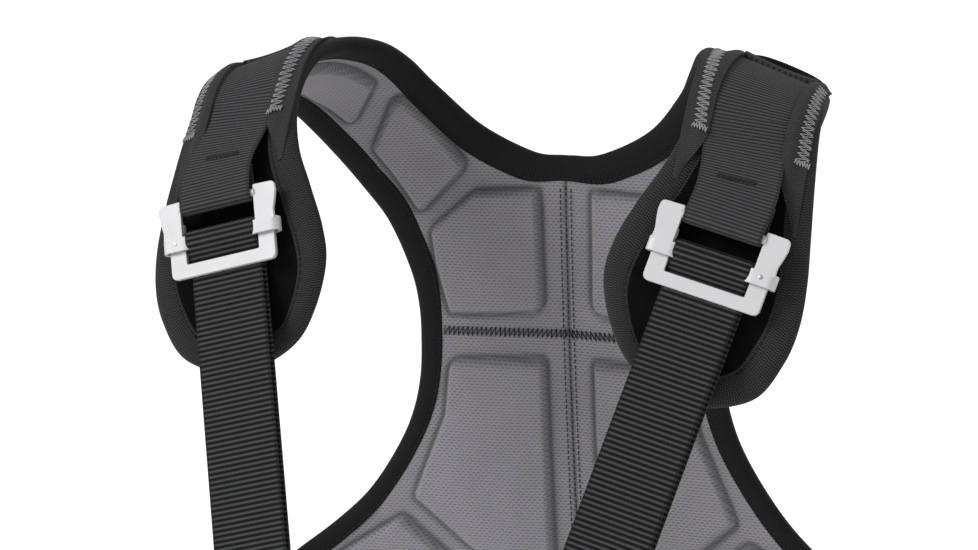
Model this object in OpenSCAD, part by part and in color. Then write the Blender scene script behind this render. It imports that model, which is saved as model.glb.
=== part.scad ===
// Padded shoulder and back yoke of a body harness, with its two adjusting buckles.
// X is across the wearer, +Y is towards the back, +Z is up.
// The origin lies in the symmetry plane, level with the middle of both shoulder straps' crests.

/* [Body shape] */
// Distance from the symmetry plane to the middle of a shoulder strap
strap_x = 149; // [140:1:156]
// Fall of the shoulders outwards, degrees
shoulder_slope = 24; // [18:1:26]
// Length along which the strap turns down in front of the shoulder
front_turn_len = 40; // [38:1:44]
// Length along which the arm turns down behind the shoulder
back_turn_len = 69; // [64:1:74]
// How far the lower arms have bent forward at their tips
lower_arm_wrap = 22; // [0:1:30]

/* [Padding] */
// Thickness of the full-size foam layer
core_t = 5; // [4:0.5:6]
// Thickness of the outer cover
cover_t = 1.2; // [1:0.1:1.5]
// Thickness of the mesh lining
lining_t = 1.2; // [1:0.1:1.5]
// Height of a moulded pillow above the lining
pillow_h = 5; // [3:0.5:7]
// Width of the edge binding
binding_w = 15; // [12:1:17]
// Thickness over the edge binding
binding_t = 9.2; // [8:0.2:9.2]

/* [Webbing] */
// Width of the load webbing
web_w = 45; // [44:0.5:45.5]
// Thickness of the load webbing
web_t = 1.8; // [1.6:0.1:2]

/* [Buckle] */
// Thickness of the upper frame's plate
frame_t = 2.8; // [2.4:0.1:3]
// Clear width between the frame's two cheeks
window_w = 46.8; // [46.5:0.1:48]
// Width over the two ears
ear_span = 75; // [72:1:78]
// Radius of the two cross bars
bar_r = 2.4; // [2:0.1:2.4]
// Distance from the upper bar to the sliding bar
bar_gap = 17; // [16.5:0.5:18]
// Height of the slider's lower bar
lower_bar_h = 7.7; // [7:0.1:9]
// Travel of the slider
slide_travel = 4; // [2:0.5:4]
// Length of the hanging strap below the upper bar
strap_len = 285; // [240:5:320]
// Radius of the eye sewn into the hanging strap's end
eye_r = 7; // [6:0.5:8]

/* [Back ring] */
// Mean radius of the ring's bow
ring_r = 27; // [24:1:32]
// Radius of the ring's rod
rod_r = 4.5; // [4:0.5:5]

/* [Hidden] */

// Side profile from the crest: each entry is [length, turn in degrees]
front_path = [[front_turn_len, 52], [150, 36], [90, 1]];
back_path = [[back_turn_len, 55], [86, 32], [250, -6], [200, -8]];
fall = tan(shoulder_slope);

// Outline of one half, as [x, s] points: s is the length along the surface from the crest,
// positive in front and negative behind. The outer edge and the inner edge are paired point by point.
outer_edge = [
    [140, 203], [168, 184], [183, 158], [190, 135], [192, 112], [191, 88], [189, 62], [187, 38],
    [185, 16], [182, -4], [176, -26], [168, -48], [158, -72], [146, -98], [131, -127], [114, -158],
    [102, -190], [97, -213], [96, -236], [98, -262], [105, -284], [118, -303], [136, -320],
    [158, -331], [183, -340], [204, -350], [217, -366], [214, -392]
];
neck_edge = [
    [118, 206], [98, 200], [87, 184], [82, 162], [86, 140], [97, 112], [109, 84], [116, 56],
    [116, 30], [111, 0], [103, -22], [94, -42], [86, -62], [75, -87], [53, -122], [22, -151.5],
    [0, -163]
];
seam_edge = [[0, -163], [0, -216], [0, -271], [0, -320], [0, -366], [0, -410], [0, -468]];
hem_edge = [[0, -468], [45, -453], [88, -440], [132, -432], [170, -424], [195, -412]];
neck_end = len(neck_edge) - 1;
cross_seam = neck_end + 2;
hem_start = neck_end + len(seam_edge) - 1;
last_row = len(outer_edge) - 1;
top_row = 1.04;
end_row = last_row - 1.04;
row_step = 0.5;
tape_gap = 0.6;

// Layers, measured outwards from the middle surface
core_in = -3;
core_out = core_in + core_t;
cover_out = core_out + cover_t;
lining_in = core_in - lining_t;
ply_gap = 0.15;
panel_t = 1.2;
web_in = cover_out + panel_t + 0.8;
web_out = web_in + web_t;
layer_gap = 0.3;
pillow_gap = 0.6;

// Buckle: the upper bar's place, its tilt and its roll
bar_pos = [strap_x, -81, -67];
buckle_tilt = 20.5;
buckle_roll = 15;
rail_w = 10;
slider_t = 2.4;
slider_y = frame_t / 2 + 0.3;
bar2_y = slider_y + slider_t / 2;
play = 0.3;
rivet_r = 1.5;
rivet_z = -18.5;
tab_low = -24;
tab_h = 8;
window_low = -32;
loop_r = bar_r + 0.2;
strap_y = slider_y + slider_t + 0.2;

// Dorsal ring
plate_s = -262;
plate_t = 3;

// A point of a chain of arcs: [forward, down, slope] at length s
function walk(s, path, i = 0, y = 0, z = 0, a = 0) =
    let (last = i == len(path) - 1)
    let (n = last ? s : min(s, path[i][0]))
    let (r = path[i][0] / path[i][1] * 180 / PI)
    let (b = a + path[i][1] * n / path[i][0])
    let (y2 = y + r * (sin(b) - sin(a)), z2 = z - r * (cos(a) - cos(b)))
    (last || s <= path[i][0]) ? [y2, z2, b] : walk(s - n, path, i + 1, y2, z2, b);

function ramp(v) = let (c = min(max(v, 0), 1)) c * c * (3 - 2 * c);

// Forward bend of the lower arms at [x, s]
function wrap(x, s) =
    let (over = max(abs(x) - 125, 0) / 90)
    lower_arm_wrap * over * over * ramp((-s - 270) / 60);

// Rise of the crest's outer side, which falls less steeply than the rest
function crest_rise(x, s) =
    let (over = max(abs(x) - 139, 0))
    0.004 * over * over * exp(-pow(s / 55, 2));

// Extra height of what lies over the crest, where the pad's outer side curls up
function crest_lift(s) = 2.2 * exp(-pow(s / 50, 2));

// Point at distance t outwards from the middle surface
function place(x, s, t) =
    let (q = walk(abs(s), s >= 0 ? front_path : back_path), way = s >= 0 ? -1 : 1)
    let (side = min(max(x / 20, -1), 1), k = fall * cos(q[2]), m = t / sqrt(1 + k * k))
    [x + side * m * k,
     way * (q[0] + m * sin(q[2])) - wrap(x, s),
     q[1] + m * cos(q[2]) - fall * (abs(x) - strap_x) + crest_rise(x, s)];

// Smooth curve through points, at u counted in points
function through(p, u) =
    let (n = len(p), i = min(floor(u), n - 2), f = u - i)
    let (b = p[i], c = p[i + 1])
    let (a = i > 0 ? p[i - 1] : 2 * b - c, d = i < n - 2 ? p[i + 2] : 2 * c - b)
    0.5 * (2 * b + (c - a) * f + (2 * a - 5 * b + 4 * c - d) * f * f
        + (3 * b - a - 3 * c + d) * f * f * f);

function unit(v) = v / norm(v);

// Control points of an edge moved inwards by w; turn is 1 where the inside is on the left
function moved_in(p, w, turn) =
    [for (i = [0:len(p) - 1])
        let (t = unit(p[min(i + 1, len(p) - 1)] - p[max(i - 1, 0)]))
        p[i] + w * turn * [-t[1], t[0]]];

function outer_in(w) = moved_in(outer_edge, w, -1);
function seam_top(w) = [0, neck_edge[neck_end][1] - w];
function seam_low(w) = [0, hem_edge[0][1] + w];
function neck_in(w) =
    let (p = moved_in(neck_edge, w, 1))
    [for (i = [0:neck_end]) i == neck_end ? seam_top(w) : p[i]];
function hem_in(w) =
    let (p = moved_in(hem_edge, w, 1))
    [for (i = [0:len(hem_edge) - 1]) i == 0 ? seam_low(w) : p[i]];
function seam_in(w) =
    [for (i = [0:len(seam_edge) - 1])
        i == 0 ? seam_top(w) : i == len(seam_edge) - 1 ? seam_low(w) : seam_edge[i]];

outer_inset = outer_in(binding_w);
neck_inset = neck_in(binding_w);
hem_inset = hem_in(binding_w);

// The layers stop a little short of the binding
outer_layer = outer_in(binding_w + tape_gap);
neck_layer = neck_in(binding_w + tape_gap);
hem_layer = hem_in(binding_w + tape_gap);
seam_layer = seam_in(binding_w + tape_gap);

function layer_inner_at(u) =
    u <= neck_end ? through(neck_layer, u)
    : u <= hem_start ? through(seam_layer, u - neck_end)
    : through(hem_layer, u - hem_start);

function mix(a, b, f) = a + (b - a) * f;

function on_surface(p, t) = place(p[0], p[1], t);

// Closed solid between two matching grids of points
module solid_between(low, high) {
    rows = len(low);
    cols = len(low[0]);
    n = rows * cols;
    points = [for (g = [low, high]) for (r = g) for (p = r) p];
    faces = concat(
        [for (i = [0:rows - 2]) for (j = [0:cols - 2]) for (f = [0, 1])
            let (a = i * cols + j, b = a + 1, c = a + cols + 1, d = a + cols)
            f == 0 ? [a, c, b] : [a, d, c]],
        [for (i = [0:rows - 2]) for (j = [0:cols - 2]) for (f = [0, 1])
            let (a = n + i * cols + j, b = a + 1, c = a + cols + 1, d = a + cols)
            f == 0 ? [a, b, c] : [a, c, d]],
        [for (i = [0:rows - 2]) for (f = [0, 1])
            let (a = i * cols, b = a + cols)
            f == 0 ? [a, a + n, b + n] : [a, b + n, b]],
        [for (i = [0:rows - 2]) for (f = [0, 1])
            let (a = i * cols + cols - 1, b = a + cols)
            f == 0 ? [a, b, b + n] : [a, b + n, a + n]],
        [for (j = [0:cols - 2]) for (f = [0, 1])
            let (a = j, b = a + 1)
            f == 0 ? [a, b, b + n] : [a, b + n, a + n]],
        [for (j = [0:cols - 2]) for (f = [0, 1])
            let (a = (rows - 1) * cols + j, b = a + 1)
            f == 0 ? [a, a + n, b + n] : [a, b + n, b]]
    );
    polyhedron(points = points, faces = faces);
}

// Layer of one half over rows u0 to u1, inside the binding, t0 to t1 thick
module layer(u0, u1, t0, t1, cols = 6) {
    n = round((u1 - u0) / row_step);
    function grid(t) =
        [for (i = [0:n])
            let (u = mix(u0, u1, i / n), a = through(outer_layer, u), b = layer_inner_at(u))
            [for (j = [0:cols]) on_surface(mix(a, b, j / cols), t)]];
    solid_between(grid(t0), grid(t1));
}

// Strip of binding through pairs of [edge point, inside point]
module bound(pairs) {
    function grid(t) = [for (p = pairs) [on_surface(p[0], t), on_surface(p[1], t)]];
    solid_between(grid(-binding_t / 2), grid(binding_t / 2));
}

// Pillow raised on the body side between two lines of [x, s] points
module pillow(line_a, line_b, steps = 5) {
    edge = 0.08;
    n = len(line_a) - 1;
    function grid(t, m) =
        [for (i = [0:2 * n])
            let (u = mix(m, n - m, i / (2 * n)))
            let (a = through(line_a, u), b = through(line_b, u))
            [for (j = [0:steps]) on_surface(mix(a, b, mix(m / n, 1 - m / n, j / steps)), t)]];
    solid_between(grid(lining_in - pillow_h, edge * n), grid(lining_in - pillow_gap, 0));
}

// Strip along the strap: columns are [offset from the strap's middle, low t, high t]
module strip(s0, s1, columns, rows = 8) {
    function grid(k) =
        [for (i = [0:rows])
            let (s = mix(s0, s1, i / rows))
            [for (c = columns) place(strap_x + c[0], s, c[k] + crest_lift(s))]];
    solid_between(grid(2), grid(1));
}

// Flat webbing through [middle point, width direction] pairs
module webbing(stations) {
    n = len(stations) - 1;
    function lift(i) =
        let (t = stations[min(i + 1, n)][0] - stations[max(i - 1, 0)][0])
        unit(cross(t, stations[i][1])) * web_t / 2;
    function grid(k) =
        [for (i = [0:n])
            [for (e = [-0.5, 0, 0.5]) stations[i][0] + stations[i][1] * web_w * e + lift(i) * k]];
    solid_between(grid(1), grid(-1));
}

// Stations of webbing lying on the surface along [x, s] points
function laid(path, t, step = 0.5) =
    [for (u = [0:step:len(path) - 1])
        let (p = through(path, u), e = 0.01)
        let (q0 = through(path, max(u - e, 0)), q1 = through(path, min(u + e, len(path) - 1)))
        let (along = over_crest(q1, t) - over_crest(q0, t))
        [over_crest(p, t), unit(cross(outward(p), along))]];

function over_crest(p, t) = on_surface(p, t + crest_lift(p[1]));

// Outward direction of the surface at [x, s]
function outward(p) =
    unit(cross(on_surface(p + [0, 1], 0) - on_surface(p - [0, 1], 0),
        on_surface(p + [1, 0], 0) - on_surface(p - [1, 0], 0)));

// Direction from the buckle's own frame to the yoke's
function turned(p) =
    let (y = p[1] * cos(buckle_tilt) + p[2] * sin(buckle_tilt))
    let (z = p[2] * cos(buckle_tilt) - p[1] * sin(buckle_tilt))
    [p[0] * cos(buckle_roll) + z * sin(buckle_roll), y, z * cos(buckle_roll) - p[0] * sin(buckle_roll)];

module at_buckle() {
    translate(bar_pos) rotate([-buckle_tilt, buckle_roll, 0]) children();
}

// Solid of width w across the buckle, from an outline of [y, z]
module across(w) {
    rotate([90, 0, 90]) translate([0, 0, -w / 2]) linear_extrude(w) children();
}

// Plate facing the wearer's front, from an outline of [x, z], between y0 and y1
module plate(y0, y1) {
    translate([0, y1, 0]) rotate([90, 0, 0]) linear_extrude(y1 - y0) children();
}

module both_cheeks() {
    children();
    mirror([1, 0, 0]) children();
}

module other_side() {
    mirror([1, 0, 0]) children();
}

module foam_core_left() { color("dimgray") layer(top_row, end_row, core_in, core_out); }
module foam_core_right() { other_side() foam_core_left(); }

module outer_cover_left() { color("#1e1f22") layer(top_row, end_row, core_out, cover_out); }
module outer_cover_right() { other_side() outer_cover_left(); }

module lining_upper_left() { color("#7d7b80") layer(top_row, cross_seam, lining_in, core_in - ply_gap); }
module lining_upper_right() { other_side() lining_upper_left(); }
module lining_lower_left() { color("#7d7b80") layer(cross_seam, end_row, lining_in, core_in - ply_gap); }
module lining_lower_right() { other_side() lining_lower_left(); }

module neck_binding() {
    half = [for (u = [1:row_step:neck_end]) [through(neck_edge, u), through(neck_inset, u)]];
    n = len(half) - 1;
    mirrored = [for (i = [n - 1:-1:0]) [for (p = half[i]) [-p[0], p[1]]]];
    color("#19191c") bound(concat(half, mirrored));
}

module armhole_binding_left() {
    tip = last_row - 1;
    turn = 4;
    front_round = concat(
        [for (u = [0:row_step:1]) through(neck_edge, 1 - u)],
        [for (u = [0:row_step:0.5]) through(outer_edge, u)]
    );
    back_round = concat(
        [for (u = [tip + row_step:row_step:last_row]) through(outer_edge, u)],
        [for (u = [last_row:-row_step:tip]) through(hem_edge, u - hem_start)]
    );
    front_in = [through(neck_inset, 1), through(outer_inset, 1)];
    back_in = [through(outer_inset, tip), through(hem_inset, tip - hem_start)];
    nf = len(front_round);
    nb = len(back_round);
    pairs = concat(
        [for (i = [0:nf - 1]) [front_round[i], mix(front_in[0], front_in[1], i / nf)]],
        [for (u = [1:row_step:tip]) [through(outer_edge, u), through(outer_inset, u)]],
        [for (i = [0:nb - 1]) [back_round[i], mix(back_in[0], back_in[1], (i + 1) / nb)]]
    );
    color("#19191c") bound([for (i = [len(pairs) - 1:-1:0]) pairs[i]]);
}
module armhole_binding_right() { other_side() armhole_binding_left(); }

module hem_binding() {
    half = [for (u = [last_row - 1:-row_step:hem_start])
        [through(hem_inset, u - hem_start), through(hem_edge, u - hem_start)]];
    n = len(half) - 1;
    mirrored = [for (i = [n - 1:-1:0]) [for (p = half[i]) [-p[0], p[1]]]];
    color("#19191c") bound(concat(half, mirrored));
}

module pillow_upper_left() {
    color("#8a888d") pillow(
        [[15, -181], [15, -205], [15, -228], [15, -252]],
        [[57, -161], [86, -174], [84, -200], [77, -228]]
    );
}
module pillow_upper_right() { other_side() pillow_upper_left(); }

module pillow_lower_left() {
    color("#8a888d") pillow(
        [[15, -281], [15, -320], [15, -370], [15, -428]],
        [[77, -256], [80, -284], [104, -333], [60, -394]]
    );
}
module pillow_lower_right() { other_side() pillow_lower_left(); }

module pillow_arm_left() {
    color("#8a888d") pillow([[103, -68], [85, -102], [63, -144]], [[120, -107], [106, -133], [92, -160]]);
}
module pillow_arm_right() { other_side() pillow_arm_left(); }

module pillow_crest_left() {
    color("#8a888d") pillow([[134, -8], [123, -32], [112, -57]], [[159, -12], [148, -48], [132, -80]]);
}
module pillow_crest_right() { other_side() pillow_crest_left(); }

module pillow_side_left() {
    color("#8a888d") pillow(
        [[113, -343], [150, -351], [188, -364]],
        [[74, -392], [112, -414], [160, -402]]
    );
}
module pillow_side_right() { other_side() pillow_side_left(); }

module pillow_front_left() {
    color("#8a888d") pillow(
        [[138, 24], [131, 84], [114, 132], [116, 172]],
        [[162, 14], [167, 64], [168, 112], [152, 164]]
    );
}
module pillow_front_right() { other_side() pillow_front_left(); }

module front_panel_left() {
    color("#141416") layer_on_front();
}
module front_panel_right() { other_side() front_panel_left(); }

// Fleece facing of the front pad, below the flaps
module layer_on_front() {
    layer(top_row, 7, cover_out + ply_gap, cover_out + panel_t);
}

shoulder_path = [
    [38, -226], [62, -196], [88, -158], [110, -118], [130, -76], [144, -36], [149, 0],
    [149, 18], [149, 36], [149, 52]
];
side_lift = 1.2;
side_path = [[38, -296], [72, -330], [112, -356], [152, -376], [196, -392], [226, -404]];

web_lie = (web_in + web_out) / 2;
over_shoulder = laid(shoulder_path, web_lie);
bar_turn = [for (a = [0:30:180]) (loop_r + web_t / 2) * [-cos(a), -sin(a)]];
bar_fold = [for (p = concat([[-1.4, 12], [-2.8, 6]], bar_turn, [[3.2, 6], [2.6, 12], [2.4, 18]]))
    [bar_pos + turned([0, p[0], p[1]]), turned([1, 0, 0])]];

module shoulder_webbing_left() {
    color("#2d2e30") webbing(concat(over_shoulder, bar_fold));
}
module shoulder_webbing_right() { other_side() shoulder_webbing_left(); }

module side_webbing_left() {
    color("#2d2e30") webbing(laid(side_path, web_lie + side_lift));
}
module side_webbing_right() { other_side() side_webbing_left(); }

// Folded border beside the webbing, with a lip over its edge; way is 1 outwards, -1 inwards
module flap(way) {
    low = binding_t / 2 + layer_gap;
    high = web_out + 6 * layer_gap;
    t = 1.5;
    columns = [[19, high, high + t], [25, high, high + t], [30, low + 1, low + 1 + t], [36, low, low + t]];
    ordered = way > 0 ? columns : [for (i = [3:-1:0]) columns[i]];
    color("#2d2e30") strip(-12, 54, [for (c = ordered) [way * c[0], c[1], c[2]]]);
}
module flap_outer_left() { flap(1); }
module flap_outer_right() { other_side() flap_outer_left(); }
module flap_inner_left() { flap(-1); }
module flap_inner_right() { other_side() flap_inner_left(); }

module crest_band_left() {
    low = web_out + layer_gap;
    color("#2d2e30") strip(-13, -6, [[-18.5, low, low + 2], [0, low, low + 2], [18.5, low, low + 2]], 3);
}
module crest_band_right() { other_side() crest_band_left(); }

// Soft roll across the webbing, just behind the crest
module crest_roll_left() {
    low = web_out + 4 * layer_gap;
    crown = [for (x = [-19:3.8:19]) [x, low, low + 0.6 + 4.4 * sqrt(max(1 - x * x / 361, 0))]];
    color("#111113") strip(-34, -14.5, crown, 6);
}
module crest_roll_right() { other_side() crest_roll_left(); }

// Short row of stitches across the straight stretch above the buckle
module bartack_left() {
    a = over_shoulder[len(over_shoulder) - 1];
    b = bar_fold[0];
    out = unit(cross(b[0] - a[0], a[1] + b[1]));
    function grid(t) =
        [for (f = [0.6, 0.68])
            [for (x = [-11, 11]) mix(a[0], b[0], f) + unit(mix(a[1], b[1], f)) * x + out * t]];
    color("black") solid_between(grid(web_t / 2 + 1.2), grid(web_t / 2 + 0.6));
}
module bartack_right() { other_side() bartack_left(); }

module buckle_frame_left() {
    ear = ear_span / 2;
    inner = window_w / 2;
    rail_out = inner + rail_w + play;
    tab_out = rail_out + frame_t - 0.4;
    tab_back = slider_y + slider_t + play;
    cheek = [
        [inner, 4.5], [ear - 3, 4], [ear, 1], [ear - 0.6, -4], [ear - 2.4, -12],
        [tab_out, -16], [tab_out, tab_low], [inner, tab_low]
    ];
    color("whitesmoke") at_buckle() difference() {
        union() {
            both_cheeks() {
                plate(-frame_t / 2, frame_t / 2) polygon(cheek);
                plate(frame_t / 2, tab_back) translate([rail_out, tab_low])
                    square([tab_out - rail_out, tab_h]);
                plate(tab_back, tab_back + 2) translate([inner + 3, tab_low])
                    square([tab_out - inner - 3, tab_h]);
            }
            rotate([0, 90, 0]) cylinder(h = 2 * inner + 2, r = bar_r, center = true, $fn = 48);
        }
        translate([inner + rail_w / 2, 0, rivet_z]) rotate([-90, 0, 0])
            cylinder(h = 30, r = rivet_r, center = true, $fn = 32);
    }
}
module buckle_frame_right() { other_side() buckle_frame_left(); }

module buckle_rivet_left() {
    inner = window_w / 2;
    back = slider_y + slider_t + play + 2;
    color("gray") at_buckle() translate([inner + rail_w / 2, -frame_t / 2, rivet_z]) rotate([-90, 0, 0])
        cylinder(h = back + frame_t / 2, r = rivet_r, $fn = 32);
}
module buckle_rivet_right() { other_side() buckle_rivet_left(); }

module buckle_slider_left() {
    inner = window_w / 2;
    rail = inner + rail_w;
    bottom = window_low - lower_bar_h;
    slot = rivet_r + 0.2;
    color("whitesmoke") at_buckle() {
        difference() {
            plate(slider_y, slider_y + slider_t) difference() {
                hull() for (x = [-1, 1]) {
                    translate([x * (rail - 3), bottom + 3]) circle(r = 3, $fn = 32);
                    translate([x * (rail - 1), -9]) circle(r = 1, $fn = 32);
                }
                translate([-inner + 0.3, window_low]) square([2 * inner - 0.6, 40]);
            }
            plate(slider_y - 1, slider_y + slider_t + 1) hull() for (z = [0, slide_travel])
                translate([inner + rail_w / 2, rivet_z + z]) circle(r = slot, $fn = 32);
        }
        translate([0, bar2_y, -bar_gap]) rotate([0, 90, 0])
            cylinder(h = 2 * inner, r = bar_r, center = true, $fn = 48);
    }
}
module buckle_slider_right() { other_side() buckle_slider_left(); }

module front_strap_left() {
    r = bar_r + 0.2 + web_t;
    top = -bar_gap;
    tail_y = strap_y;
    load_y = strap_y + web_t + 0.2;
    tail_end = -strap_len + 22;
    eye_z = -strap_len + eye_r + web_t;
    eye_y = load_y + web_t / 2;
    color("#2d2e30") at_buckle() across(web_w) {
        difference() {
            translate([bar2_y, top]) circle(r = r, $fn = 48);
            translate([bar2_y, top]) circle(r = bar_r + 0.2, $fn = 48);
            translate([bar2_y - r - 1, top - r - 1]) square([2 * r + 2, r + 1]);
        }
        polygon([
            [bar2_y - r, top], [bar2_y - r, top - 4], [tail_y, top - 14], [tail_y, tail_end],
            [tail_y + web_t, tail_end], [tail_y + web_t, top - 14.6], [bar2_y - r + web_t, top - 4.6],
            [bar2_y - r + web_t, top]
        ]);
        polygon([
            [bar2_y + r - web_t, top], [load_y, top - 12], [load_y, eye_z + eye_r],
            [load_y + web_t, eye_z + eye_r], [load_y + web_t, top - 12], [bar2_y + r, top]
        ]);
        difference() {
            translate([eye_y, eye_z]) circle(r = eye_r + web_t, $fn = 64);
            translate([eye_y, eye_z]) circle(r = eye_r, $fn = 64);
        }
    }
}
module front_strap_right() { other_side() front_strap_left(); }

// Places its children on the back, flat on the webbing, at length s down the symmetry plane
module on_back(s, t) {
    slope = walk(-s, back_path)[2];
    translate(place(0, s, t)) rotate([90 - slope, 0, 0]) children();
}

module dorsal_plate() {
    color("#19191c") on_back(plate_s, web_out + layer_gap) plate(0, plate_t)
        hull() for (x = [-1, 1]) {
            translate([x * 26, 36]) circle(r = 10, $fn = 32);
            translate([x * 40, 0]) circle(r = 10, $fn = 32);
            translate([x * 26, -36]) circle(r = 10, $fn = 32);
        }
}

keeper_r = rod_r + 2.2;

module ring_keeper() {
    color("#2d2e30") on_back(plate_s, web_out + layer_gap + plate_t) across(36) difference() {
        union() {
            translate([keeper_r, 14]) circle(r = keeper_r, $fn = 48);
            translate([0, 14 - keeper_r]) square([keeper_r, 2 * keeper_r]);
        }
        translate([keeper_r, 14]) circle(r = rod_r + 0.1, $fn = 48);
    }
}

module dorsal_ring() {
    color("silver") on_back(plate_s, web_out + layer_gap + plate_t) translate([0, keeper_r, 14]) {
        rotate([0, 90, 0]) cylinder(h = 2 * ring_r, r = rod_r, center = true, $fn = 48);
        rotate([-90, 0, 0]) rotate_extrude(angle = 180, $fn = 64)
            translate([ring_r, 0]) circle(r = rod_r, $fn = 32);
        for (x = [-1, 1]) translate([x * ring_r, 0, 0]) sphere(r = rod_r, $fn = 48);
    }
}

foam_core_left();
foam_core_right();
outer_cover_left();
outer_cover_right();
lining_upper_left();
lining_upper_right();
lining_lower_left();
lining_lower_right();
neck_binding();
armhole_binding_left();
armhole_binding_right();
hem_binding();
pillow_upper_left();
pillow_upper_right();
pillow_lower_left();
pillow_lower_right();
pillow_arm_left();
pillow_arm_right();
pillow_crest_left();
pillow_crest_right();
pillow_side_left();
pillow_side_right();
pillow_front_left();
pillow_front_right();
front_panel_left();
front_panel_right();
shoulder_webbing_left();
shoulder_webbing_right();
flap_inner_left();
flap_inner_right();
flap_outer_left();
flap_outer_right();
crest_band_left();
crest_band_right();
crest_roll_left();
crest_roll_right();
bartack_left();
bartack_right();
side_webbing_left();
side_webbing_right();
buckle_frame_left();
buckle_frame_right();
buckle_slider_left();
buckle_slider_right();
buckle_rivet_left();
buckle_rivet_right();
front_strap_left();
front_strap_right();
dorsal_plate();
ring_keeper();
dorsal_ring();
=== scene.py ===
"""Padded shoulder and back yoke of a body harness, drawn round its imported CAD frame."""
import math

import bmesh
import bpy
import numpy as np
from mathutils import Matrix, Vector


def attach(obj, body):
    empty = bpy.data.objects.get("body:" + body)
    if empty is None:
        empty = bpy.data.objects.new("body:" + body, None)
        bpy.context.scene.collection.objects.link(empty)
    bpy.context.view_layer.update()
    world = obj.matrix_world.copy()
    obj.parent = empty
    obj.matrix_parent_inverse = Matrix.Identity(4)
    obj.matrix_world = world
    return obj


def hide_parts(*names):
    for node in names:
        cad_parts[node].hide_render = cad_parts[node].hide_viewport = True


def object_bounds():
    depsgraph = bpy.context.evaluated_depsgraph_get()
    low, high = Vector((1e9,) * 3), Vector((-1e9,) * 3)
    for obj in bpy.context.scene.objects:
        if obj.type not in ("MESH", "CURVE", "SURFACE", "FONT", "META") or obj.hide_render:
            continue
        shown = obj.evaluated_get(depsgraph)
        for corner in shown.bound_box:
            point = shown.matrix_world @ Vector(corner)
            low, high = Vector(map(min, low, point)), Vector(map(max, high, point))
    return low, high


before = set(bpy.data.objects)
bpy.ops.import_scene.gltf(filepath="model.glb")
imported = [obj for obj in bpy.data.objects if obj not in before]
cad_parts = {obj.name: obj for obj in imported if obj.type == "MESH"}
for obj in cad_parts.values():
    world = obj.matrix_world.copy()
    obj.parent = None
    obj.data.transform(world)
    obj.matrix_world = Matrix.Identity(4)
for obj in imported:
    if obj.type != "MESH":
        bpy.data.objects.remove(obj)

CAD_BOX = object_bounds()
MM = 0.001
SIDES = {"left": 1.0, "right": -1.0}
scene = bpy.context.scene
scene.view_settings.view_transform = "Standard"
FLOOR_DROP = 0.7
FLOOR_REACH = 60.0


# ---------------------------------------------------------------- camera and studio

def make_camera():
    data = bpy.data.cameras.new("camera")
    data.sensor_width = 36.0
    data.lens = 122.0
    data.clip_end = 100.0
    cam = bpy.data.objects.new("camera", data)
    scene.collection.objects.link(cam)
    cam.location = (0.663, -1.752, 0.171)
    look = Vector((-0.052, 0.092, -0.128)) - cam.location
    cam.rotation_euler = look.to_track_quat("-Z", "Y").to_euler()
    scene.camera = cam


def area_light(name, spot, target, size, power):
    data = bpy.data.lights.new(name, "AREA")
    data.shape = "RECTANGLE"
    data.size, data.size_y = size
    data.energy = power
    lamp = bpy.data.objects.new(name, data)
    scene.collection.objects.link(lamp)
    lamp.location = spot
    lamp.rotation_euler = (Vector(target) - Vector(spot)).to_track_quat("-Z", "Y").to_euler()


def make_studio():
    world = bpy.data.worlds.new("studio")
    scene.world = world
    world.use_nodes = True
    sky = world.node_tree.nodes["Background"]
    sky.inputs["Color"].default_value = (1, 1, 1, 1)
    sky.inputs["Strength"].default_value = 0.55
    sun = bpy.data.lights.new("sun", "SUN")
    sun.energy = 2.3
    sun.angle = math.radians(26)
    lamp = bpy.data.objects.new("sun", sun)
    scene.collection.objects.link(lamp)
    lamp.rotation_euler = Vector((0.62, 0.55, -0.6)).to_track_quat("-Z", "Y").to_euler()
    area_light("rim", (1.2, 1.0, 1.6), (0, 0, -0.1), (1.2, 0.8), 16)
    mesh = bpy.data.meshes.new("floor")
    level = CAD_BOX[0][2] - FLOOR_DROP
    corners = [(x * FLOOR_REACH, y * FLOOR_REACH, level) for x, y in ((-1, -1), (1, -1), (1, 1), (-1, 1))]
    mesh.from_pydata(corners, [], [(0, 1, 2, 3)])
    floor = bpy.data.objects.new("floor", mesh)
    scene.collection.objects.link(floor)
    pale = bpy.data.materials.new("floor")
    pale.use_nodes = True
    shader = pale.node_tree.nodes["Principled BSDF"]
    shader.inputs["Base Color"].default_value = (0.93, 0.93, 0.93, 1)
    shader.inputs["Roughness"].default_value = 0.9
    shader.inputs["Emission Color"].default_value = (1, 1, 1, 1)
    shader.inputs["Emission Strength"].default_value = 0.3
    mesh.materials.append(pale)


make_camera()
make_studio()


# ---------------------------------------------------------------- the body's surface, as in part.scad

STRAP_X = 149.0
FALL = math.tan(math.radians(24))
FRONT_PATH = [(40, 52), (150, 36), (90, 1)]
BACK_PATH = [(69, 55), (86, 32), (250, -6), (200, -8)]
ARM_WRAP = 22.0
WRAP_X, WRAP_OVER = 125.0, 90.0
WRAP_S, WRAP_RAMP = 270.0, 60.0
MIDDLE_SOFT = 20.0
CREST_RISE = 0.004
CREST_RISE_X, CREST_RISE_S = 139.0, 55.0
CREST_LIFT, CREST_LIFT_S = 2.2, 50.0

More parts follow.
